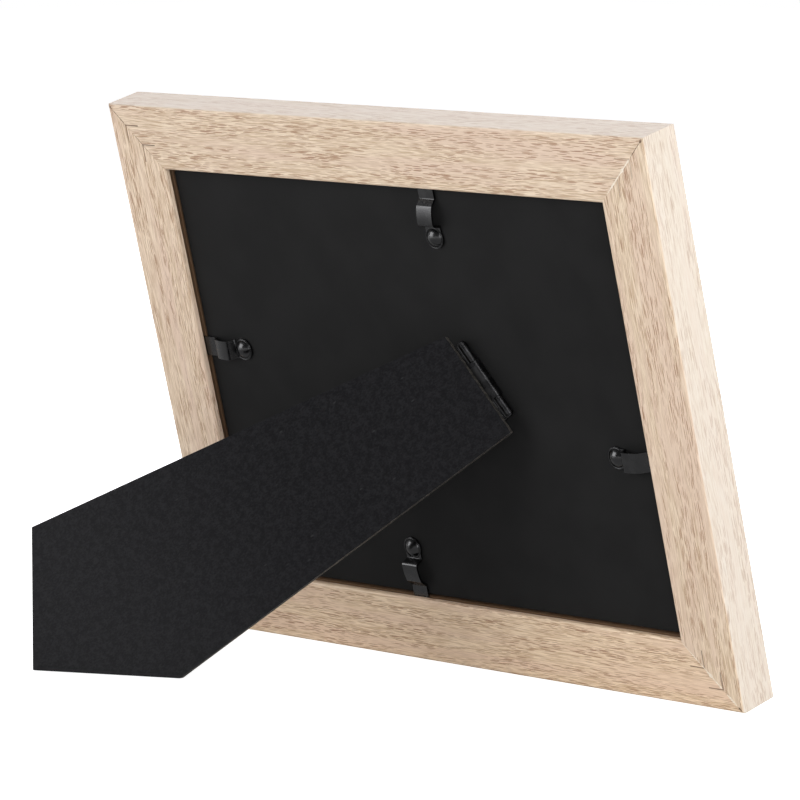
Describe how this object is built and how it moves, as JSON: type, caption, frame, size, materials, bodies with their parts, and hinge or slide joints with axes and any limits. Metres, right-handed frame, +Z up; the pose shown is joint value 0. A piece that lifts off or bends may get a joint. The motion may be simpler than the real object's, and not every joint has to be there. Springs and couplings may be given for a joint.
{
  "type": "easel back photo frame",
  "caption": "Mitred wood-look photo frame for a standard print, with a recessed back panel held by turn clips and a hinged easel strut that folds flat.",
  "frame": {"origin": "on the table, under the middle of the part's bounding box, in the open landscape stance", "axes": "+X along the frame's length, +Y from the picture side to the strut, +Z up from the table"},
  "size_m": [0.221, 0.1114, 0.1683],
  "materials": {
    "oak": "matt light oak",
    "panel_board": "matt black",
    "strut_board": "matt black fibreboard",
    "black_steel": "semi-gloss black",
    "hinge_steel": "dark plated",
    "nail_steel": "bare",
    "glass": "clear",
    "paper": "matt"
  },
  "bodies": {
    "frame": {"top_rail": "oak", "bottom_rail": "oak", "left_rail": "oak", "right_rail": "oak", "corner_nails_top_left": "nail_steel", "corner_nails_top_right": "nail_steel", "corner_nails_bottom_left": "nail_steel", "corner_nails_bottom_right": "nail_steel", "glazing_sheet": "glass", "print_insert": "paper", "back_panel": "panel_board", "clip_rivet_top": "black_steel", "clip_rivet_bottom": "black_steel", "clip_rivet_left": "black_steel", "clip_rivet_right": "black_steel", "hinge_panel_leaf": "hinge_steel", "hinge_pin": "hinge_steel", "panel_leaf_rivets": "hinge_steel"},
    "strut": {"easel_strut": "strut_board", "hinge_strut_leaf": "hinge_steel", "strut_leaf_tacks": "hinge_steel"},
    "clip_top": {"turn_clip_top": "black_steel"},
    "clip_bottom": {"turn_clip_bottom": "black_steel"},
    "clip_left": {"turn_clip_left": "black_steel"},
    "clip_right": {"turn_clip_right": "black_steel"}
  },
  "joints": [
    {"name": "strut_fold", "type": "hinge", "parent": "frame", "child": "strut", "pos_m": [-0.02965, -0.02023, 0.0904], "axis": [-0.5807, -0.2107, -0.7864], "range_deg": [0, 34.3]},
    {"name": "clip_top_turn", "type": "hinge", "parent": "frame", "child": "clip_top", "pos_m": [-0.0188, -0.01068, 0.13148], "axis": [0, 0.9659, -0.2588], "continuous": true},
    {"name": "clip_bottom_turn", "type": "hinge", "parent": "frame", "child": "clip_bottom", "pos_m": [0.016, -0.03656, 0.03489], "axis": [0, 0.9659, -0.2588], "continuous": true},
    {"name": "clip_left_turn", "type": "hinge", "parent": "frame", "child": "clip_left", "pos_m": [0.0738, -0.02147, 0.0912], "axis": [0, 0.9659, -0.2588], "continuous": true},
    {"name": "clip_right_turn", "type": "hinge", "parent": "frame", "child": "clip_right", "pos_m": [-0.0762, -0.0268, 0.0713], "axis": [0, 0.9659, -0.2588], "continuous": true}
  ]
}
